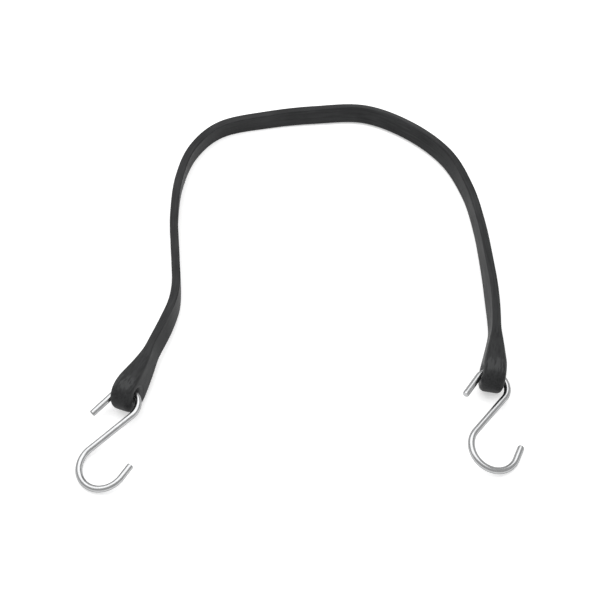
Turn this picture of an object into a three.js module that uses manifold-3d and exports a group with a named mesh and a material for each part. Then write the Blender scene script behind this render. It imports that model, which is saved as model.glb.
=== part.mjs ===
// Rubber tie-down strap: a flat moulded rubber strap with a thick eye at each end and a wire
// S-hook through each eye. It lies on its narrow edge on a table, bent into an open arch.
// Millimetres, +Z up, with the table at z = 0. +X runs from the left eye to the right eye and
// +Y runs from the open end of the arch to its crown.

import * as THREE from 'three';
import { mergeVertices } from 'three/addons/utils/BufferGeometryUtils.js';
import Module from 'manifold-3d';

const { degToRad, lerp, clamp } = THREE.MathUtils;

// Rubber strap between the eyes
const strapWidth = 13.4;
const strapThickness = 6;
const strapCorner = 1;

// Moulded eyes, round about their holes when seen on the flat face
const eyeWidth = 24;
const eyeThickness = 15;
const eyeCorner = 3.5;
const eyeFlatLength = 2;
const widthTaper = 36;
const thicknessTaper = 40;

// Share of a taper's length that is rounded into the strap, and into the eye
const taperBlend = 0.2;

// Hole through each eye, square to the flat face, with rounded mouths
const holeDiameter = 10;
const holeMouth = 2.5;

// Bent wire of the hooks
const wireDiameter = 4.4;
const bendClearance = 1.2;
const upperTipLength = 17.5;
const upperBendTurn = 185;
const shankLength = 34;
const lowerBendRadius = 15.8;
const lowerBendTurn = 195;
const lowerTipLength = 10;

// How far the crown of the upper bend sits behind the hole's centre line
const wireSetback = 1.5;

// Middle line of the strap, from the centre of the left eye's hole to that of the right one:
// x, y, how far the strap is raised from its own resting height (0) to the eye's (1), and the
// lean of its top edge away from the inside of the arch, in degrees
const route = [
  [-112.3, -99.2, 1, 7],
  [-104, -80.5, 1, 10],
  [-97.2, -62, 0.95, 16],
  [-91.2, -44.5, 0.8, 15],
  [-86.7, -26.5, 0.65, 6],
  [-86, -10, 0.52, -1.5],
  [-87.5, 8, 0.42, -3],
  [-89.5, 30, 0.3, -2],
  [-91.5, 55, 0.15, -5],
  [-90, 89.5, 0.05, -5],
  [-80.8, 121.8, 0.02, -2.5],
  [-60.2, 145.5, 0, -1],
  [-24, 155.7, 0, 5],
  [12, 160.7, 0, 13],
  [50, 161.4, 0, 19.5],
  [83.8, 143.8, 0, 22],
  [110, 116, 0.02, 17.5],
  [123.7, 82, 0.03, 8.5],
  [129.5, 47.5, 0.15, 8.5],
  [131.8, 12.5, 0.4, 12],
  [132.5, -18.5, 0.7, 16],
  [131.5, -50, 1, 8],
  [127, -84.8, 1, 6],
];

// How each hook lies: tilt of its wire in the hole and how far the wire has slid round its upper
// bend, in degrees, and its shift along the hole. It swings down about the hole until it meets
// the table.
const leftHookPose = { tilt: 1, slide: -25.5, shift: 0.4 };
const rightHookPose = { tilt: -9.5, slide: -29.5, shift: 0.1 };

// Worked out from the sizes above
const eyeRadius = eyeWidth / 2;
const wireRadius = wireDiameter / 2;
const upperBendRadius = eyeThickness / 2 + wireRadius + bendClearance;

// Counts
const middleSteps = 50;
const taperSteps = 10;
const endAngles = [75, 60, 45, 30, 15];
const cornerSteps = 2;
const holeSides = 32;
const mouthSteps = 4;
const wireSides = 12;
const wireSteps = 84;

const rubber = new THREE.MeshStandardMaterial({ color: 0x36373a, roughness: 0.65, metalness: 0 });
const zinc = new THREE.MeshStandardMaterial({ color: 0xc4c7ca, roughness: 0.3, metalness: 1 });

const wasm = await Module();
wasm.setup();

// Booleans work on solids; the scene graph holds geometries.
function toSolid(geometry) {
  const bare = geometry.clone();
  bare.deleteAttribute('normal');
  bare.deleteAttribute('uv');
  const welded = mergeVertices(bare, 1e-4);
  return new wasm.Manifold(new wasm.Mesh({
    numProp: 3,
    vertProperties: new Float32Array(welded.attributes.position.array),
    triVerts: new Uint32Array(welded.index.array),
  }));
}

function toGeometry(solid) {
  const mesh = solid.getMesh();
  const geometry = new THREE.BufferGeometry();
  geometry.setAttribute('position', new THREE.BufferAttribute(mesh.vertProperties, 3));
  geometry.setIndex(new THREE.BufferAttribute(mesh.triVerts, 1));
  geometry.computeVertexNormals();
  return geometry;
}

// Height of the middle line of a leaning rounded bar whose lowest edge is on the table.
function restingHeight(width, thickness, corner, lean) {
  const tall = (width / 2 - corner) * Math.cos(lean);
  const thick = (thickness / 2 - corner) * Math.abs(Math.sin(lean));
  return tall + thick + corner;
}

function routePoint([x, y, raised, leanDegrees]) {
  const lean = degToRad(leanDegrees);
  const strapHeight = restingHeight(strapWidth, strapThickness, strapCorner, lean);
  const eyeHeight = restingHeight(eyeWidth, eyeThickness, eyeCorner, lean);
  return new THREE.Vector3(x, y, lerp(strapHeight, eyeHeight, raised));
}

// The strap's middle line and its lean are two curves with the same parameter.
const middleLine = new THREE.CatmullRomCurve3(route.map(routePoint), false, 'catmullrom', 0.5);
middleLine.arcLengthDivisions = 800;
const leanLine = new THREE.CatmullRomCurve3(
  route.map(([, , , lean]) => new THREE.Vector3(lean, 0, 0)), false, 'catmullrom', 0.5);
const routeLength = middleLine.getLength();

// Place and directions of the strap at a distance from the left hole along the middle line;
// past either hole the strap runs straight on.
function strapFrame(distance) {
  const inside = clamp(distance, 0, routeLength);
  const share = inside / routeLength;
  const position = middleLine.getPointAt(share);
  const along = middleLine.getTangentAt(share);
  position.addScaledVector(along, distance - inside);
  const lean = degToRad(leanLine.getPoint(middleLine.getUtoTmapping(share)).x);
  const side = new THREE.Vector3(-along.y, along.x, 0).normalize();
  const rise = new THREE.Vector3().crossVectors(along, side);
  const outward = side.clone().multiplyScalar(Math.cos(lean)).addScaledVector(rise, -Math.sin(lean));
  const up = rise.clone().multiplyScalar(Math.cos(lean)).addScaledVector(side, Math.sin(lean));
  return { position, along, outward, up };
}

// Straight rise from 0 at low to 1 at high, with a rounded start and end.
function taper(x, low, high) {
  const share = clamp((x - low) / (high - low), 0, 1);
  const nearer = Math.min(share, 1 - share);
  const fromEnd = nearer < taperBlend
    ? nearer ** 2 / (2 * taperBlend * (1 - taperBlend))
    : (nearer - taperBlend / 2) / (1 - taperBlend);
  return share < 0.5 ? fromEnd : 1 - fromEnd;
}

// Section of the strap at a distance from the nearer hole, positive towards the strap's middle:
// a taper up to the eye, a short flat stretch, then the round end, which closes in a small flat.
const endFlat = eyeRadius * Math.sin(degToRad(endAngles[0]));

// A corner's radius is at most this share of the section, so that a thin end keeps its flats.
const cornerLimit = 0.45;

function strapSection(fromHole) {
  const swell = 1 - taper(fromHole, eyeFlatLength, thicknessTaper);
  const spread = 1 - taper(fromHole, 0, widthTaper);
  let width = lerp(strapWidth, eyeWidth, spread);
  let thickness = lerp(strapThickness, eyeThickness, swell);
  if (fromHole < 0) {
    const toEnd = Math.max(endFlat + fromHole, 0);
    const short = Math.max(eyeCorner - toEnd, 0);
    width = 2 * Math.sqrt(eyeRadius ** 2 - fromHole ** 2);
    thickness -= 2 * (eyeCorner - Math.sqrt(eyeCorner ** 2 - short ** 2));
  }
  const widestCorner = cornerLimit * Math.min(width, thickness);
  const corner = Math.min(lerp(strapCorner, eyeCorner, swell), widestCorner);
  return { width, thickness, corner };
}

// Ring of a rounded rectangle, counter-clockwise in (outward, up).
function strapRing(distance) {
  const { position, outward, up } = strapFrame(distance);
  const { width, thickness, corner } = strapSection(Math.min(distance, routeLength - distance));
  const ring = [];
  for (let quarter = 0; quarter < 4; quarter += 1) {
    const outwardSign = quarter === 0 || quarter === 3 ? 1 : -1;
    const upSign = quarter < 2 ? 1 : -1;
    for (let step = 0; step <= cornerSteps; step += 1) {
      const angle = (quarter + step / cornerSteps) * Math.PI / 2;
      const a = outwardSign * (thickness / 2 - corner) + corner * Math.cos(angle);
      const b = upSign * (width / 2 - corner) + corner * Math.sin(angle);
      ring.push(position.clone().addScaledVector(outward, a).addScaledVector(up, b));
    }
  }
  return ring;
}

// Closed skin over a row of rings with the same number of points.
function loft(rings) {
  const sides = rings[0].length;
  const last = (rings.length - 1) * sides;
  const index = [];
  for (let row = 0; row < rings.length - 1; row += 1) {
    for (let j = 0; j < sides; j += 1) {
      const a = row * sides + j;
      const b = row * sides + (j + 1) % sides;
      index.push(a, b, a + sides, b, b + sides, a + sides);
    }
  }
  for (let j = 1; j < sides - 1; j += 1) {
    index.push(0, j + 1, j);
    index.push(last, last + j, last + j + 1);
  }
  const geometry = new THREE.BufferGeometry().setFromPoints(rings.flat());
  geometry.setIndex(index);
  return geometry;
}

function strapStations() {
  const roundEnd = endAngles.map((angle) => -eyeRadius * Math.sin(degToRad(angle)));
  const swelling = Array.from({ length: taperSteps }, (_, i) => thicknessTaper * i / taperSteps);
  const leftHalf = [...roundEnd, ...swelling];
  const middleLength = routeLength - 2 * thicknessTaper;
  const middle = Array.from(
    { length: middleSteps + 1 }, (_, i) => thicknessTaper + middleLength * i / middleSteps);
  const rightHalf = leftHalf.map((distance) => routeLength - distance).reverse();
  return [...leftHalf, ...middle, ...rightHalf];
}

// Frame of an eye: X towards the strap's end, Y along the hole from the hook's upper tip to its
// shank, Z up across the strap's width.
function eyeFrame(distance) {
  const { position, along, outward, up } = strapFrame(distance);
  const isLeft = distance < routeLength / 2;
  const towardsEnd = along.clone().multiplyScalar(isLeft ? -1 : 1);
  const alongHole = outward.clone().multiplyScalar(isLeft ? -1 : 1);
  return new THREE.Matrix4().makeBasis(towardsEnd, alongHole, up).setPosition(position);
}

// Cutter for a hole: a spool about Y with the hole's rounded mouths and an overrun at each end.
function holeCutter() {
  const radius = holeDiameter / 2;
  const wall = eyeThickness / 2 - holeMouth;
  const overrun = eyeThickness / 2 + eyeCorner;
  const profile = [];
  for (const end of [-1, 1]) {
    const mouth = [
      new THREE.Vector2(0, end * overrun),
      new THREE.Vector2(radius + holeMouth, end * overrun),
    ];
    for (let step = mouthSteps; step >= 0; step -= 1) {
      const angle = step / mouthSteps * Math.PI / 2;
      const out = radius + holeMouth * (1 - Math.cos(angle));
      const depth = wall + holeMouth * Math.sin(angle);
      mouth.push(new THREE.Vector2(out, end * depth));
    }
    profile.push(...(end < 0 ? mouth : mouth.reverse()));
  }
  return new THREE.LatheGeometry(profile, holeSides);
}

function makeStrap() {
  let solid = toSolid(loft(strapStations().map(strapRing)));
  for (const distance of [0, routeLength]) {
    const cutter = holeCutter().applyMatrix4(eyeFrame(distance));
    solid = solid.subtract(toSolid(cutter));
  }
  const mesh = new THREE.Mesh(toGeometry(solid), rubber);
  mesh.name = 'rubber_strap';
  return mesh;
}

// Middle line of a hook's wire in its own plane: X along the legs towards the lower bend, Y from
// the upper tip to the shank, with the centre of the upper bend at the origin.
class HookWire extends THREE.Curve {
  constructor() {
    super();
    this.stretches = [
      { length: upperTipLength, bend: 0 },
      { length: upperBendRadius * degToRad(upperBendTurn), bend: -1 / upperBendRadius },
      { length: shankLength, bend: 0 },
      { length: lowerBendRadius * degToRad(lowerBendTurn), bend: 1 / lowerBendRadius },
      { length: lowerTipLength, bend: 0 },
    ];
    this.total = this.stretches.reduce((sum, { length }) => sum + length, 0);
    this.arcLengthDivisions = 600;
  }

  getPoint(t, target = new THREE.Vector3()) {
    const halfTurn = degToRad(upperBendTurn) / 2;
    let heading = Math.PI / 2 + halfTurn;
    let x = -upperBendRadius * Math.cos(halfTurn) - upperTipLength * Math.cos(heading);
    let y = -upperBendRadius * Math.sin(halfTurn) - upperTipLength * Math.sin(heading);
    let left = t * this.total;
    for (const { length, bend } of this.stretches) {
      const run = Math.min(left, length);
      const turned = heading + bend * run;
      x += bend === 0 ? run * Math.cos(heading) : (Math.sin(turned) - Math.sin(heading)) / bend;
      y += bend === 0 ? run * Math.sin(heading) : (Math.cos(heading) - Math.cos(turned)) / bend;
      heading = turned;
      left -= run;
    }
    return target.set(x, y, 0);
  }
}

function makeHook(name) {
  const section = new THREE.Shape();
  section.absarc(0, 0, wireRadius, 0, 2 * Math.PI);
  const geometry = new THREE.ExtrudeGeometry(section, {
    steps: wireSteps,
    curveSegments: wireSides / 2,
    extrudePath: new HookWire(),
  });
  const mesh = new THREE.Mesh(toGeometry(toSolid(geometry)), zinc);
  mesh.name = name;
  return mesh;
}

// Frame of a hook's upper bend, when the hook has swung about the hole by the given angle.
function bendFrame(eye, swing, { tilt, slide, shift }) {
  const swung = new THREE.Matrix4().makeRotationFromEuler(
    new THREE.Euler(degToRad(tilt), swing, 0, 'YXZ'));
  const bend = new THREE.Matrix4().makeRotationZ(degToRad(slide));
  bend.setPosition(upperBendRadius - wireSetback, shift, 0);
  return eye.clone().multiply(swung).multiply(bend);
}

// Swing at which the lowest point of the wire meets the table, found by halving.
function restingSwing(eye, pose) {
  const wire = new HookWire().getSpacedPoints(wireSteps);
  let high = degToRad(-45);
  let low = degToRad(45);
  for (let i = 0; i < 40; i += 1) {
    const swing = (high + low) / 2;
    const frame = bendFrame(eye, swing, pose);
    const lowest = Math.min(...wire.map((point) => point.clone().applyMatrix4(frame).z));
    if (lowest > wireRadius) {
      high = swing;
    } else {
      low = swing;
    }
  }
  return high;
}

// A hook hangs in its eye and lies with its lower bend on the table.
function hangHook(name, distance, pose) {
  const eye = eyeFrame(distance);
  const hook = makeHook(name);
  hook.applyMatrix4(bendFrame(eye, restingSwing(eye, pose), pose));
  return hook;
}

const strapWithHooks = new THREE.Group();
strapWithHooks.add(makeStrap());
strapWithHooks.add(hangHook('hook_left', 0, leftHookPose));
strapWithHooks.add(hangHook('hook_right', routeLength, rightHookPose));

export default strapWithHooks;
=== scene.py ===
import bisect
import math

import bmesh
import bpy
from mathutils import Matrix, Vector


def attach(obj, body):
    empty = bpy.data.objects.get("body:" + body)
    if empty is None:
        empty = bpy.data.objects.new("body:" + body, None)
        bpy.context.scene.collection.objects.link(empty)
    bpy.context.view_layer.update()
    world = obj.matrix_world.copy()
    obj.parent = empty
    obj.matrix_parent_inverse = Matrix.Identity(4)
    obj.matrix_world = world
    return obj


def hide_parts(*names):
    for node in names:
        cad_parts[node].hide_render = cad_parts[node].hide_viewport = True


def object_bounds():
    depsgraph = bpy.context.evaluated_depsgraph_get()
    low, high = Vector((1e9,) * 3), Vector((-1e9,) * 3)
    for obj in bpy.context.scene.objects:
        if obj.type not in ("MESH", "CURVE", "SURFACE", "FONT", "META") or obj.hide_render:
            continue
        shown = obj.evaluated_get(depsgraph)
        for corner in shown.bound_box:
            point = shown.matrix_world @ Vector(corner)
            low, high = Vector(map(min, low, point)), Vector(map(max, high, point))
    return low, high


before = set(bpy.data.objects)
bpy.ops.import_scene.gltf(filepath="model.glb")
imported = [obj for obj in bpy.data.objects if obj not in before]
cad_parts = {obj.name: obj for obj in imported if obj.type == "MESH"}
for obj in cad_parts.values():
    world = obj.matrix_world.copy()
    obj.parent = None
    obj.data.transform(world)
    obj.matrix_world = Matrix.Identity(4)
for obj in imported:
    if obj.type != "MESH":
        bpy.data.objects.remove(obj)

scene = bpy.context.scene
cad_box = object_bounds()

# Camera
# The strap is seen from over the open end of its arch, a little more than half way up from the
# table, through a long lens that gives it only a mild perspective.
look_at = Vector((0.0, -0.014, 0.0))
camera_distance = 0.910
camera_elevation = math.radians(53)
lens_mm = 78
sensor_mm = 36

camera_data = bpy.data.cameras.new("camera")
camera_data.lens = lens_mm
camera_data.sensor_width = sensor_mm
camera = bpy.data.objects.new("camera", camera_data)
scene.collection.objects.link(camera)
towards_camera = Vector((0.0, -math.cos(camera_elevation), math.sin(camera_elevation)))
camera.location = look_at + camera_distance * towards_camera
camera.rotation_euler = (math.pi / 2 - camera_elevation, 0.0, 0.0)
scene.camera = camera

# Rubber strap between the eyes
# One flat length of black moulded rubber with small rounded edges, which lies on its narrow edge
# on the table in an open arch. It swells into a thick eye at each end, in the same moulding.
strap_width = 0.0134
strap_thickness = 0.006
strap_corner = 0.001
eye_width = 0.024
eye_thickness = 0.015
eye_corner = 0.0035
eye_flat_length = 0.002
hole_radius = 0.005
hole_mouth = 0.0025
width_taper = 0.036
thickness_taper = 0.040

# Share of a taper's length that is rounded into the strap, and into the eye
taper_blend = 0.2

# Middle line from the left eye's hole to the right one's: x and y in metres, how far the strap is
# raised from its own resting height (0) to the eye's (1), and the lean of its top edge away from
# the inside of the arch, in degrees.
route = [
    (-0.1123, -0.0992, 1, 7),
    (-0.104, -0.0805, 1, 10),
    (-0.0972, -0.062, 0.95, 16),
    (-0.0912, -0.0445, 0.8, 15),
    (-0.0867, -0.0265, 0.65, 6),
    (-0.086, -0.01, 0.52, -1.5),
    (-0.0875, 0.008, 0.42, -3),
    (-0.0895, 0.03, 0.3, -2),
    (-0.0915, 0.055, 0.15, -5),
    (-0.09, 0.0895, 0.05, -5),
    (-0.0808, 0.1218, 0.02, -2.5),
    (-0.0602, 0.1455, 0, -1),
    (-0.024, 0.1557, 0, 5),
    (0.012, 0.1607, 0, 13),
    (0.05, 0.1614, 0, 19.5),
    (0.0838, 0.1438, 0, 22),
    (0.11, 0.116, 0.02, 17.5),
    (0.1237, 0.082, 0.03, 8.5),
    (0.1295, 0.0475, 0.15, 8.5),
    (0.1318, 0.0125, 0.4, 12),
    (0.1325, -0.0185, 0.7, 16),
    (0.1315, -0.05, 1, 8),
    (0.127, -0.0848, 1, 6),
]


def resting_height(width, thickness, corner, lean):
    """Height of the middle of a leaning rounded bar whose lowest edge is on the table."""
    tall = (width / 2 - corner) * math.cos(lean)
    thick = (thickness / 2 - corner) * abs(math.sin(lean))
    return tall + thick + corner


def route_point(x, y, raised, lean_degrees):
    """A point of the middle line, with the lean as its fourth number."""
    lean = math.radians(lean_degrees)
    low = resting_height(strap_width, strap_thickness, strap_corner, lean)
    high = resting_height(eye_width, eye_thickness, eye_corner, lean)
    return Vector((x, y, low + raised * (high - low), lean))


route_points = [route_point(*point) for point in route]
spans = len(route_points) - 1


def on_route(t):
    """The smooth curve through the route's points, which passes point number t at t."""
    first = min(int(t), spans - 1)
    share = t - first
    a = route_points[first]
    b = route_points[first + 1]
    before = route_points[first - 1] if first > 0 else 2 * a - b
    after = route_points[first + 2] if first + 2 <= spans else 2 * b - a
    leaving = (b - before) / 2
    arriving = (after - a) / 2
    rise = b - a
    return a + share * (leaving + share * (
        3 * rise - 2 * leaving - arriving + share * (leaving + arriving - 2 * rise)))


# Distance from the left hole at each small step of the curve
steps_per_span = 40
distances = [0.0]
for step in range(spans * steps_per_span):
    stretch = on_route((step + 1) / steps_per_span) - on_route(step / steps_per_span)
    distances.append(distances[-1] + stretch.xyz.length)
route_length = distances[-1]


def strap_frame(distance):
    """Place and directions of the strap at a distance from the left hole: middle, along, outward
    from the arch, and up across the width. Past the holes it runs straight on."""
    inside = min(max(distance, 0.0), route_length)
    step = min(bisect.bisect_right(distances, inside), len(distances) - 1) - 1
    share = (inside - distances[step]) / (distances[step + 1] - distances[step])
    t = (step + share) / steps_per_span
    here = on_route(t)
    nudge = 0.5 / steps_per_span
    along = (on_route(min(t + nudge, spans)) - on_route(max(t - nudge, 0))).xyz.normalized()
    side = Vector((-along.y, along.x, 0.0)).normalized()
    rise = along.cross(side)
    outward = side * math.cos(here.w) - rise * math.sin(here.w)
    up = rise * math.cos(here.w) + side * math.sin(here.w)
    return here.xyz + (distance - inside) * along, along, outward, up


def taper(x, low, high):
    """Straight rise from 0 at low to 1 at high, with a rounded start and end."""
    share = min(max((x - low) / (high - low), 0.0), 1.0)
    nearer = min(share, 1 - share)
    if nearer < taper_blend:
        from_end = nearer ** 2 / (2 * taper_blend * (1 - taper_blend))
    else:
        from_end = (nearer - taper_blend / 2) / (1 - taper_blend)
    return from_end if share < 0.5 else 1 - from_end


def strap_section(from_hole):
    """Width, thickness and corner radius at a distance from the nearer hole."""
    swell = 1 - taper(from_hole, eye_flat_length, thickness_taper)
    spread = 1 - taper(from_hole, 0.0, width_taper)
    width = strap_width + spread * (eye_width - strap_width)
    thickness = strap_thickness + swell * (eye_thickness - strap_thickness)
    corner = strap_corner + swell * (eye_corner - strap_corner)
    return width, thickness, corner


corner_steps = 5
flat_margin = 0.0003


def section_ring(width, thickness, corner):
    """Points of a rounded rectangle, across the thickness and across the width. A point near each
    end of a side keeps the side flat under smooth shading."""
    ring = []
    for quarter in range(4):
        out_sign = 1 if quarter in (0, 3) else -1
        up_sign = 1 if quarter < 2 else -1
        out_middle = out_sign * (thickness / 2 - corner)
        up_middle = up_sign * (width / 2 - corner)
        arc = []
        for step in range(corner_steps + 1):
            angle = (quarter + step / corner_steps) * math.pi / 2
            arc.append((out_middle + corner * math.cos(angle), up_middle + corner * math.sin(angle)))
        start_angle = quarter * math.pi / 2
        before = (arc[0][0] + flat_margin * math.sin(start_angle),
                  arc[0][1] - flat_margin * math.cos(start_angle))
        after = (arc[-1][0] - flat_margin * math.cos(start_angle),
                 arc[-1][1] - flat_margin * math.sin(start_angle))
        ring += [before, *arc, after]
    return ring


def strap_vertex(shape, layer, distance, across, upward):
    """A vertex at a place on the strap. It keeps that place for the rubber's pattern."""
    position, along, outward, up = strap_frame(distance)
    vertex = shape.verts.new(position + across * outward + upward * up)
    vertex[layer] = Vector((distance, across, upward))
    return vertex


def join_rows(shape, row, next_row):
    """Faces between two closed rows of vertices."""
    for j in range(len(row)):
        k = (j + 1) % len(row)
        shape.faces.new((row[j], row[k], next_row[k], next_row[j]))


sharp_angle = math.radians(40)


def finished_piece(name, shape, material):
    """Turns a bmesh into an object at the origin, smooth but for its sharp edges."""
    bmesh.ops.recalc_face_normals(shape, faces=shape.faces)
    for face in shape.faces:
        face.smooth = True
    for edge in shape.edges:
        edge.smooth = edge.calc_face_angle(0.0) < sharp_angle
    mesh = bpy.data.meshes.new(name)
    shape.to_mesh(mesh)
    shape.free()
    mesh.materials.append(material)
    piece = bpy.data.objects.new(name, mesh)
    scene.collection.objects.link(piece)
    return piece


def feed(tree, socket, value):
    """Gives a node's input a number or a colour, or links it to another node's output."""
    if isinstance(value, bpy.types.NodeSocket):
        tree.links.new(value, socket)
    else:
        socket.default_value = value


def calculate(tree, operation, first, second=None):
    """One step of arithmetic between numbers and nodes."""
    node = tree.nodes.new("ShaderNodeMath")
    node.operation = operation
    feed(tree, node.inputs[0], first)
    if second is not None:
        feed(tree, node.inputs[1], second)
    return node.outputs["Value"]


def remap(tree, value, source, target=(0.0, 1.0)):
    """Carries a value from the source's two ends to the target's, and never past them."""
    node = tree.nodes.new("ShaderNodeMapRange")
    feed(tree, node.inputs["Value"], value)
    feed(tree, node.inputs["From Min"], source[0])
    feed(tree, node.inputs["From Max"], source[1])
    feed(tree, node.inputs["To Min"], target[0])
    feed(tree, node.inputs["To Max"], target[1])
    return node.outputs["Result"]


def vector_of(tree, x, y, z=0.0):
    """A vector made of three numbers or node outputs."""
    node = tree.nodes.new("ShaderNodeCombineXYZ")
    feed(tree, node.inputs["X"], x)
    feed(tree, node.inputs["Y"], y)
    feed(tree, node.inputs["Z"], z)
    return node.outputs["Vector"]


def parts_of(tree, vector):
    """The X, Y and Z of a vector."""
    node = tree.nodes.new("ShaderNodeSeparateXYZ")
    tree.links.new(vector, node.inputs["Vector"])
    return node.outputs


def length_of(tree, vector):
    """The length of a vector."""
    node = tree.nodes.new("ShaderNodeVectorMath")
    node.operation = "LENGTH"
    tree.links.new(vector, node.inputs["Vector"])
    return node.outputs["Value"]


def noise_over(tree, place, scale, detail):
    """Soft random lumps over a piece, from 0 to 1: the scale is lumps to the unit of the place."""
    node = tree.nodes.new("ShaderNodeTexNoise")
    node.inputs["Scale"].default_value = scale
    node.inputs["Detail"].default_value = detail
    tree.links.new(place, node.inputs["Vector"])
    return node.outputs["Fac"]


def make_streaks_group():
    """Fine marks along a piece, as a drawn wire and a moulded strap have: Place is the place on
    the piece, along it first, and the scales are marks a metre."""
    streak_detail = 3.0
    tree = bpy.data.node_groups.new("long_streaks", "ShaderNodeTree")
    for name, kind in (("Place", "NodeSocketVector"), ("Along Scale", "NodeSocketFloat"),
                       ("Across Scale", "NodeSocketFloat")):
        tree.interface.new_socket(name, in_out="INPUT", socket_type=kind)
    tree.interface.new_socket("Mask", in_out="OUTPUT", socket_type="NodeSocketFloat")
    given = tree.nodes.new("NodeGroupInput").outputs
    result = tree.nodes.new("NodeGroupOutput").inputs
    across = given["Across Scale"]
    stretched = tree.nodes.new("ShaderNodeVectorMath")
    stretched.operation = "MULTIPLY"
    tree.links.new(given["Place"], stretched.inputs[0])
    tree.links.new(vector_of(tree, given["Along Scale"], across, across), stretched.inputs[1])
    streaks = noise_over(tree, stretched.outputs["Vector"], 1.0, streak_detail)
    tree.links.new(streaks, result["Mask"])
    return tree


streaks_group = make_streaks_group()


def streaks_over(tree, place, along_scale, across_scale):
    """The fine marks on a piece, with its own scales."""
    node = tree.nodes.new("ShaderNodeGroup")
    node.node_tree = streaks_group
    node.inputs["Along Scale"].default_value = along_scale
    node.inputs["Across Scale"].default_value = across_scale
    tree.links.new(place, node.inputs["Place"])
    return node.outputs["Mask"]


def tint(tree, share, colour, other):
    """A colour that becomes the other one as the share goes from 0 to 1."""
    node = tree.nodes.new("ShaderNodeMix")
    node.data_type = "RGBA"
    feed(tree, node.inputs["Factor"], share)
    feed(tree, node.inputs["A"], colour)
    feed(tree, node.inputs["B"], other)
    return node.outputs["Result"]


def emboss(tree, shader, height, strength, depth):
    """Fine relief on a surface."""
    bump = tree.nodes.new("ShaderNodeBump")
    bump.inputs["Strength"].default_value = strength
    bump.inputs["Distance"].default_value = depth
    tree.links.new(height, bump.inputs["Height"])
    tree.links.new(bump.outputs["Normal"], shader.inputs["Normal"])


def new_finish(name):
    """A new material, its nodes and its shader."""
    material = bpy.data.materials.new(name)
    material.use_nodes = True
    tree = material.node_tree
    return material, tree, tree.nodes["Principled BSDF"]


def stored_place(tree, attribute):
    """The place on a piece that its mesh keeps."""
    node = tree.nodes.new("ShaderNodeAttribute")
    node.attribute_name = attribute
    return node.outputs["Vector"]


# The part of a noise's range that most of its lumps lie in
noise_spread = (0.3, 0.7)


def distance_from_hole(tree, along):
    """Distance along the strap from the nearer hole."""
    from_right_hole = calculate(tree, "SUBTRACT", route_length, along)
    from_nearer_hole = calculate(tree, "MINIMUM", along, from_right_hole)
    return calculate(tree, "ABSOLUTE", from_nearer_hole)


def eye_scuffs_and_painted_highlight(tree, place, from_hole, height):
    """Scuffs and a painted highlight on the top of each eye, right over its hole, broken up by
    scratches.
    """
    scratch_scales = (160.0, 520.0)
    scratch_spread = (0.42, 0.62)
    scuff_and_highlight_half_length = 0.007
    scuff_and_highlight_height = 0.010
    scuff_and_highlight_strength = 2.6
    above_hole = remap(tree, from_hole, (0.0, scuff_and_highlight_half_length), (scuff_and_highlight_strength, 0.0))
    on_top = remap(tree, height, (scuff_and_highlight_height, eye_width / 2))
    on_eye = calculate(tree, "MULTIPLY", above_hole, on_top)
    worn = remap(tree, streaks_over(tree, place, *scratch_scales), scratch_spread)
    return calculate(tree, "MULTIPLY", on_eye, worn)


def hole_painted_light(tree, from_hole, height):
    """Painted light on the wall of each hole, against the shade in it, which fades out over the
    mouths.
    """
    from_hole_middle = length_of(tree, vector_of(tree, from_hole, height))
    return remap(tree, from_hole_middle, (hole_radius, hole_radius + hole_mouth), (1.0, 0.0))


def make_rubber():
    """Black rubber: a satin skin with a grey bloom in patches and in fine marks along the strap, a
    fine moulded grain, scuffs and a painted highlight on the top of each eye, and painted light on
    the wall of each hole against the shade there."""
    rubber_black = (0.0105, 0.0108, 0.0115, 1.0)
    # The bloom grey is also the painted highlight on the top of each eye.
    rubber_bloom_and_highlight = (0.043, 0.044, 0.045, 1.0)
    # A lighter grey painted on the holes' walls, as painted light against their shade.
    rubber_hole_painted_light = (0.12, 0.121, 0.123, 1.0)
    rubber_specular = 0.17
    rubber_roughness = (0.42, 0.66)
    bloom_scale = 45.0
    bloom_detail = 5.0
    bloom_strength = 0.35
    mark_scales = (60.0, 900.0)
    mark_spread = (0.35, 0.65)
    mark_strength = 0.45
    grain_scale = 1400.0
    grain_detail = 2.0
    relief_strength = 0.35
    relief_depth = 0.0001
    material, tree, shader = new_finish("black_rubber")
    shader.inputs["Specular IOR Level"].default_value = rubber_specular
    place = stored_place(tree, "strap_place")
    parts = parts_of(tree, place)
    height = parts["Z"]
    from_hole = distance_from_hole(tree, parts["X"])

    bloom = noise_over(tree, place, bloom_scale, bloom_detail)
    streaks = streaks_over(tree, place, *mark_scales)
    patches = remap(tree, bloom, noise_spread, (0.0, bloom_strength))
    marks = remap(tree, streaks, mark_spread, (0.0, mark_strength))
    grey = calculate(tree, "ADD", patches, marks)
    # The eyes' scuffs add a painted highlight: a lighter grey on the top of each eye.
    grey_and_painted_highlight = calculate(tree, "ADD", grey, eye_scuffs_and_painted_highlight(tree, place, from_hole, height))
    skin = tint(tree, grey_and_painted_highlight, rubber_black, rubber_bloom_and_highlight)
    # Each hole's wall is painted a lighter grey, as painted light against the shade in it.
    colour = tint(tree, hole_painted_light(tree, from_hole, height), skin, rubber_hole_painted_light)
    tree.links.new(colour, shader.inputs["Base Color"])
    roughness = remap(tree, streaks, noise_spread, rubber_roughness)
    tree.links.new(roughness, shader.inputs["Roughness"])

    grain = noise_over(tree, place, grain_scale, grain_detail)
    relief = calculate(tree, "ADD", grain, streaks)
    emboss(tree, shader, relief, relief_strength, relief_depth)
    return material


rubber = make_rubber()
seam = thickness_taper
band_length = route_length - 2 * seam
band_steps = 160
band_stations = [seam + band_length * step / band_steps for step in range(band_steps + 1)]


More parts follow.
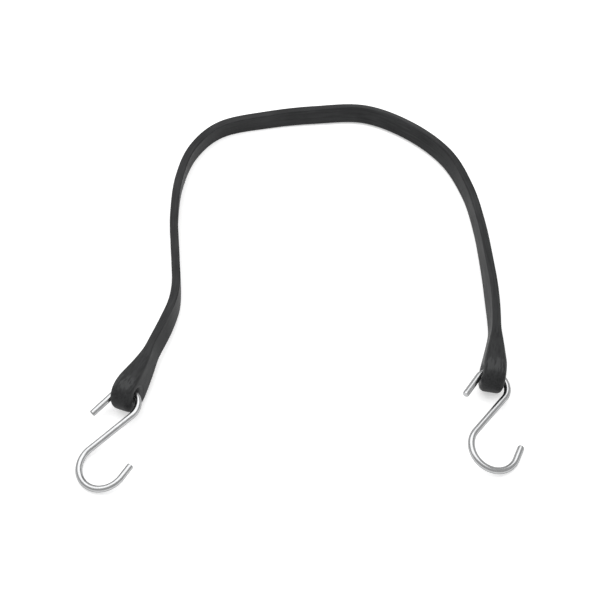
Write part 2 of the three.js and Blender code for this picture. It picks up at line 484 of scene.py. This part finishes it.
def make_band():
    """The plain band from one eye's seam to the other's, closed at both."""
    shape = bmesh.new()
    layer = shape.verts.layers.float_vector.new("strap_place")
    ring = section_ring(strap_width, strap_thickness, strap_corner)
    rows = []
    for distance in band_stations:
        rows.append([strap_vertex(shape, layer, distance, *point) for point in ring])
    for row, next_row in zip(rows, rows[1:]):
        join_rows(shape, row, next_row)
    shape.faces.new(rows[0])
    shape.faces.new(rows[-1])
    return finished_piece("strap_band", shape, rubber)


strap_band = make_band()
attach(strap_band, "strap")
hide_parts("rubber_strap")

# Moulded eyes
# Each end of the rubber is a thick eye, round about a hole that runs square to the strap's flat
# face. Its edges and the hole's mouths are rounded by the mould, so that the hook can't cut it.
eye_radius = eye_width / 2
end_steps = 40
side_steps = 26
cap_steps = 6
face_steps = 16
wall_steps = 4
mouth_steps = 6
merge_distance = 1e-6


def eye_outline():
    """Stations round the eye's flat face, as seen along the hole: distance from the hole towards
    the strap with height across the width, outward direction, and edge radius. They run along the
    top, round the end, back along the bottom and across the seam with the strap."""
    side = []
    for step in range(side_steps + 1):
        toward_strap = seam * step / side_steps
        width, thickness, corner = strap_section(toward_strap)
        ahead = strap_section(toward_strap + flat_margin)[0]
        slope = (ahead - width) / 2 / flat_margin
        side.append((toward_strap, width / 2, Vector((-slope, 1.0)).normalized(), corner))
    outline = []
    for toward_strap, height, normal, corner in reversed(side):
        outline.append((Vector((toward_strap, height)), normal, corner))
    for step in range(1, end_steps):
        angle = math.pi / 2 + math.pi * step / end_steps
        direction = Vector((math.cos(angle), math.sin(angle)))
        outline.append((eye_radius * direction, direction, eye_corner))
    for toward_strap, height, normal, corner in side:
        outline.append((Vector((toward_strap, -height)), Vector((normal.x, -normal.y)), corner))
    cap_half = strap_width / 2 - strap_corner
    for step in range(cap_steps + 1):
        height = cap_half * (2 * step / cap_steps - 1)
        outline.append((Vector((seam, height)), Vector((1.0, 0.0)), 0.0))
    return outline


def eye_half_loop(edge, normal, corner):
    """Half of the loop that a station draws round the rubber, from the middle of the hole's wall
    over the flat face to the middle of the outer wall, as distance, height and depth."""
    face_end = edge - corner * normal
    direction = face_end.normalized()
    mouth_radius = hole_radius + hole_mouth
    mouth = mouth_radius * direction
    half_thickness = strap_section(max(mouth.x, 0.0))[1] / 2
    loop = []
    for step in range(wall_steps):
        depth = (half_thickness - hole_mouth) * step / wall_steps
        loop.append((*(hole_radius * direction), depth))
    for step in range(mouth_steps):
        angle = math.pi / 2 * step / mouth_steps
        radius = mouth_radius - hole_mouth * math.cos(angle)
        loop.append((*(radius * direction), half_thickness - hole_mouth * (1 - math.sin(angle))))
    for step in range(face_steps + 1):
        point = mouth.lerp(face_end, step / face_steps)
        loop.append((*point, strap_section(max(point.x, 0.0))[1] / 2))
    half_thickness = strap_section(max(edge.x, 0.0))[1] / 2
    for step in range(1, corner_steps + 1):
        angle = math.pi / 2 * step / corner_steps
        point = edge - corner * (1 - math.sin(angle)) * normal
        loop.append((*point, half_thickness - corner * (1 - math.cos(angle))))
    for step in range(1, wall_steps + 1):
        loop.append((*edge, (half_thickness - corner) * (1 - step / wall_steps)))
    return loop


def make_eye(name, hole_distance, towards_strap):
    """The eye whose hole is at a distance along the route. The strap runs on from it forwards
    along the route (1) or backwards (-1)."""
    shape = bmesh.new()
    layer = shape.verts.layers.float_vector.new("strap_place")
    rows = []
    for station in eye_outline():
        half = eye_half_loop(*station)
        mirrored = [(u, v, -depth) for u, v, depth in half[-2:0:-1]]
        row = []
        for u, v, depth in half + mirrored:
            row.append(strap_vertex(shape, layer, hole_distance + towards_strap * u, depth, v))
        rows.append(row)
    for row, next_row in zip(rows, rows[1:] + rows[:1]):
        join_rows(shape, row, next_row)
    bmesh.ops.remove_doubles(shape, verts=shape.verts, dist=merge_distance)
    bmesh.ops.dissolve_degenerate(shape, edges=shape.edges, dist=merge_distance)
    eye = finished_piece(name, shape, rubber)
    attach(eye, "strap")
    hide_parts("rubber_strap")
    return eye


left_eye = make_eye("left_eye", 0.0, 1)
right_eye = make_eye("right_eye", route_length, -1)

# Wire S-hooks
# Each hook is one length of drawn steel wire, bent cold into an S, zinc-plated bright and cut
# square. Its upper bend passes through the eye's hole and closes round the eye's end.
wire_diameter = 0.0044
bend_clearance = 0.0012
upper_tip_length = 0.0175
upper_bend_turn = math.radians(185)
shank_length = 0.034
lower_bend_radius = 0.0158
lower_bend_turn = math.radians(195)
lower_tip_length = 0.010
wire_setback = 0.0015
upper_bend_radius = eye_thickness / 2 + wire_diameter / 2 + bend_clearance
wire_step = 0.0005
wire_sides = 32
cut_chamfer = 0.0003


def hook_line():
    """Middle line of the wire in its own plane: X along the legs towards the lower bend, Y from
    the upper tip to the shank, with the upper bend's centre at the origin."""
    half_turn = upper_bend_turn / 2
    heading = math.pi / 2 + half_turn
    direction = Vector((math.cos(heading), math.sin(heading), 0.0))
    point = Vector((-math.cos(half_turn), -math.sin(half_turn), 0.0)) * upper_bend_radius
    point -= upper_tip_length * direction
    line = [point.copy()]
    stretches = (
        (upper_tip_length, 0.0),
        (upper_bend_radius * upper_bend_turn, -upper_bend_turn),
        (shank_length, 0.0),
        (lower_bend_radius * lower_bend_turn, lower_bend_turn),
        (lower_tip_length, 0.0),
    )
    for length, turn in stretches:
        count = round(length / wire_step)
        chord = length / count
        if turn:
            half = turn / count / 2
            chord *= math.sin(half) / half
        for _ in range(count):
            heading += turn / count / 2
            point = point + chord * Vector((math.cos(heading), math.sin(heading), 0.0))
            heading += turn / count / 2
            line.append(point)
    return line


def eye_frame(hole_distance, towards_strap):
    """X towards the strap's end, Y along the hole from the upper tip to the shank, Z up."""
    position, along, outward, up = strap_frame(hole_distance)
    axes = Matrix((-towards_strap * along, -towards_strap * outward, up)).transposed()
    return Matrix.Translation(position) @ axes.to_4x4()


def make_zinc():
    """Bright zinc on drawn wire: a grey metal with fine marks along the wire and a faint unevenness
    of the plating. Its edges reflect less than polished chrome does."""
    zinc_bright = (0.50, 0.505, 0.51, 1.0)
    zinc_dull = (0.38, 0.382, 0.385, 1.0)
    zinc_edge = (0.25, 0.25, 0.25, 1.0)
    zinc_roughness = (0.14, 0.30)
    plating_scale = 260.0
    plating_detail = 4.0
    drawing_scales = (80.0, 3000.0)
    drawing_strength = 0.15
    drawing_depth = 0.00005
    material, tree, shader = new_finish("zinc_wire")
    shader.inputs["Metallic"].default_value = 1.0
    shader.inputs["Specular Tint"].default_value = zinc_edge
    place = stored_place(tree, "wire_place")

    plating = noise_over(tree, place, plating_scale, plating_detail)
    colour = tint(tree, plating, zinc_dull, zinc_bright)
    tree.links.new(colour, shader.inputs["Base Color"])
    streaks = streaks_over(tree, place, *drawing_scales)
    roughness = remap(tree, streaks, noise_spread, zinc_roughness)
    tree.links.new(roughness, shader.inputs["Roughness"])
    emboss(tree, shader, streaks, drawing_strength, drawing_depth)
    return material


zinc = make_zinc()


def keep_on(tree, geometry, name, kind, value):
    """The geometry with a value kept on its points under a name."""
    node = tree.nodes.new("GeometryNodeStoreNamedAttribute")
    node.data_type = kind
    node.inputs["Name"].default_value = name
    tree.links.new(geometry, node.inputs["Geometry"])
    tree.links.new(value, node.inputs["Value"])
    return node.outputs["Geometry"]


def kept(tree, name, kind):
    """The value that points keep under a name."""
    node = tree.nodes.new("GeometryNodeInputNamedAttribute")
    node.data_type = kind
    node.inputs["Name"].default_value = name
    return node.outputs["Attribute"]


def make_wire_nodes():
    """Sweeps a round wire along a curve, closes its cut ends with a small chamfer, and keeps the
    place on the wire, along it first, for the metal's pattern."""
    tree = bpy.data.node_groups.new("bent_wire", "GeometryNodeTree")
    for name, kind in (("Curve", "NodeSocketGeometry"), ("Wire Diameter", "NodeSocketFloat"),
                       ("Sides", "NodeSocketInt"), ("Cut Chamfer", "NodeSocketFloat"),
                       ("Finish", "NodeSocketMaterial")):
        tree.interface.new_socket(name, in_out="INPUT", socket_type=kind)
    tree.interface.new_socket("Wire", in_out="OUTPUT", socket_type="NodeSocketGeometry")
    link = tree.links.new
    given = tree.nodes.new("NodeGroupInput").outputs
    result = tree.nodes.new("NodeGroupOutput").inputs

    along = tree.nodes.new("GeometryNodeSplineParameter").outputs["Length"]
    whole = tree.nodes.new("GeometryNodeSplineLength").outputs["Length"]
    from_nearer_end = calculate(tree, "MINIMUM", along, calculate(tree, "SUBTRACT", whole, along))
    chamfer = given["Cut Chamfer"]
    wire_radius = calculate(tree, "DIVIDE", given["Wire Diameter"], 2.0)
    cut_radius = calculate(tree, "SUBTRACT", wire_radius, chamfer)
    radius = remap(tree, from_nearer_end, (0.0, chamfer), (cut_radius, wire_radius))

    circle = tree.nodes.new("GeometryNodeCurvePrimitiveCircle")
    circle.inputs["Radius"].default_value = 1.0
    link(given["Sides"], circle.inputs["Resolution"])
    where = tree.nodes.new("GeometryNodeInputPosition").outputs["Position"]
    section = keep_on(tree, circle.outputs["Curve"], "wire_round", "FLOAT_VECTOR", where)
    sweep = tree.nodes.new("GeometryNodeCurveToMesh")
    sweep.inputs["Fill Caps"].default_value = True
    link(keep_on(tree, given["Curve"], "wire_along", "FLOAT", along), sweep.inputs["Curve"])
    link(radius, sweep.inputs["Scale"])
    link(section, sweep.inputs["Profile Curve"])

    full_round = tree.nodes.new("ShaderNodeVectorMath")
    full_round.operation = "SCALE"
    link(kept(tree, "wire_round", "FLOAT_VECTOR"), full_round.inputs["Vector"])
    link(wire_radius, full_round.inputs["Scale"])
    round_parts = parts_of(tree, full_round.outputs["Vector"])
    place = vector_of(tree, kept(tree, "wire_along", "FLOAT"), round_parts["X"], round_parts["Y"])
    placed = keep_on(tree, sweep.outputs["Mesh"], "wire_place", "FLOAT_VECTOR", place)

    whole_wire = tree.nodes.new("GeometryNodeRealizeInstances")
    link(placed, whole_wire.inputs["Geometry"])
    plated = tree.nodes.new("GeometryNodeSetMaterial")
    link(whole_wire.outputs["Geometry"], plated.inputs["Geometry"])
    link(given["Finish"], plated.inputs["Material"])
    link(plated.outputs["Geometry"], result["Wire"])
    return tree


wire_nodes = make_wire_nodes()


def sweep_wire(name, line):
    """Plain mesh of the wire along a line of points."""
    curve = bpy.data.curves.new(name + "_line", "CURVE")
    curve.dimensions = "3D"
    spline = curve.splines.new("POLY")
    spline.points.add(len(line) - 1)
    for spline_point, point in zip(spline.points, line):
        spline_point.co = (*point, 1.0)
    path = bpy.data.objects.new(name + "_line", curve)
    scene.collection.objects.link(path)

    sweep = path.modifiers.new("bent_wire", "NODES")
    sweep.node_group = wire_nodes
    values = {"Wire Diameter": wire_diameter, "Sides": wire_sides, "Cut Chamfer": cut_chamfer,
              "Finish": zinc}
    for item in wire_nodes.interface.items_tree:
        if item.name in values:
            sweep[item.identifier] = values[item.name]
    evaluated = path.evaluated_get(bpy.context.evaluated_depsgraph_get())
    mesh = bpy.data.meshes.new_from_object(evaluated)
    bpy.data.objects.remove(path)
    return mesh


def make_hook(name, body, node, hole_distance, towards_strap, swing, tilt, slide, shift):
    """A hook in its eye: swing is its dip about the hole, tilt its turn in the loose hole and
    slide how far the wire has slid round its upper bend, in degrees. Shift is along the hole."""
    turned = Matrix.Rotation(math.radians(swing), 4, "Y")
    turned = turned @ Matrix.Rotation(math.radians(tilt), 4, "X")
    bend = Matrix.Translation((upper_bend_radius - wire_setback, shift, 0.0))
    bend = bend @ Matrix.Rotation(math.radians(slide), 4, "Z")
    placed = eye_frame(hole_distance, towards_strap) @ turned @ bend
    mesh = sweep_wire(name, [placed @ point for point in hook_line()])
    shape = bmesh.new()
    shape.from_mesh(mesh)
    bpy.data.meshes.remove(mesh)
    hook = finished_piece(name, shape, zinc)
    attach(hook, body)
    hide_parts(node)
    return hook


left_wire = make_hook("left_wire_hook", "left_hook", "hook_left", 0.0, 1,
                      swing=8.58, tilt=1, slide=-25.5, shift=0.0004)
right_wire = make_hook("right_wire_hook", "right_hook", "hook_right", route_length, -1,
                       swing=4.77, tilt=-9.5, slide=-29.5, shift=0.0001)

strap_frame(seam)[0]
[strap_frame(distance)[0] for distance in band_stations]

# Table and studio light
# A plain white table under one large soft panel, which hangs over the strap and behind it, in a
# light grey room. The table is white to the camera and in the metal, and it keeps the soft shadow.
# Far off it fades to the grey of the room.
table_size = 24.0
table_gap = 0.0001


def make_table_finish():
    """Matt white that glows only where it is looked at, straight or in the metal, and less so far
    from the strap."""
    table_white = (0.8, 0.8, 0.8, 1.0)
    table_roughness = 0.9
    glow_white = (1.0, 1.0, 1.0, 1.0)
    near_glow = 0.42
    far_glow = 0.12
    fade_start = 1.5
    fade_end = 5.0
    material, tree, shader = new_finish("white_table")
    shader.inputs["Base Color"].default_value = table_white
    shader.inputs["Roughness"].default_value = table_roughness
    shader.inputs["Specular IOR Level"].default_value = 0.0
    shader.inputs["Emission Color"].default_value = glow_white
    rays = tree.nodes.new("ShaderNodeLightPath").outputs
    seen = calculate(tree, "MAXIMUM", rays["Is Camera Ray"], rays["Is Glossy Ray"])
    seen_through = calculate(tree, "MAXIMUM", seen, rays["Is Transmission Ray"])
    place = tree.nodes.new("ShaderNodeTexCoord").outputs["Object"]
    fade = remap(tree, length_of(tree, place), (fade_start, fade_end), (near_glow, far_glow))
    glow = calculate(tree, "MULTIPLY", seen_through, fade)
    tree.links.new(glow, shader.inputs["Emission Strength"])
    return material


def make_table():
    """One flat face, just under the lowest point of the object."""
    shape = bmesh.new()
    height = cad_box[0][2] - table_gap
    half = table_size / 2
    corners = ((-half, -half), (half, -half), (half, half), (-half, half))
    shape.faces.new([shape.verts.new((x, y, height)) for x, y in corners])
    mesh = bpy.data.meshes.new("white_table")
    shape.to_mesh(mesh)
    shape.free()
    mesh.materials.append(make_table_finish())
    table = bpy.data.objects.new("white_table", mesh)
    scene.collection.objects.link(table)
    return table


make_table()

panel_place = (-0.2, 0.4, 1.3)
panel_width = 2.0
panel_depth = 1.9
panel_power = 20.0
panel_data = bpy.data.lights.new("overhead_panel", "AREA")
panel_data.shape = "RECTANGLE"
panel_data.size = panel_width
panel_data.size_y = panel_depth
panel_data.energy = panel_power
panel = bpy.data.objects.new("overhead_panel", panel_data)
panel.location = panel_place
scene.collection.objects.link(panel)

room_grey = (0.62, 0.62, 0.62, 1.0)
world = bpy.data.worlds.new("studio")
scene.world = world
world.use_nodes = True
world.node_tree.nodes["Background"].inputs["Color"].default_value = room_grey

scene.view_settings.view_transform = "Standard"
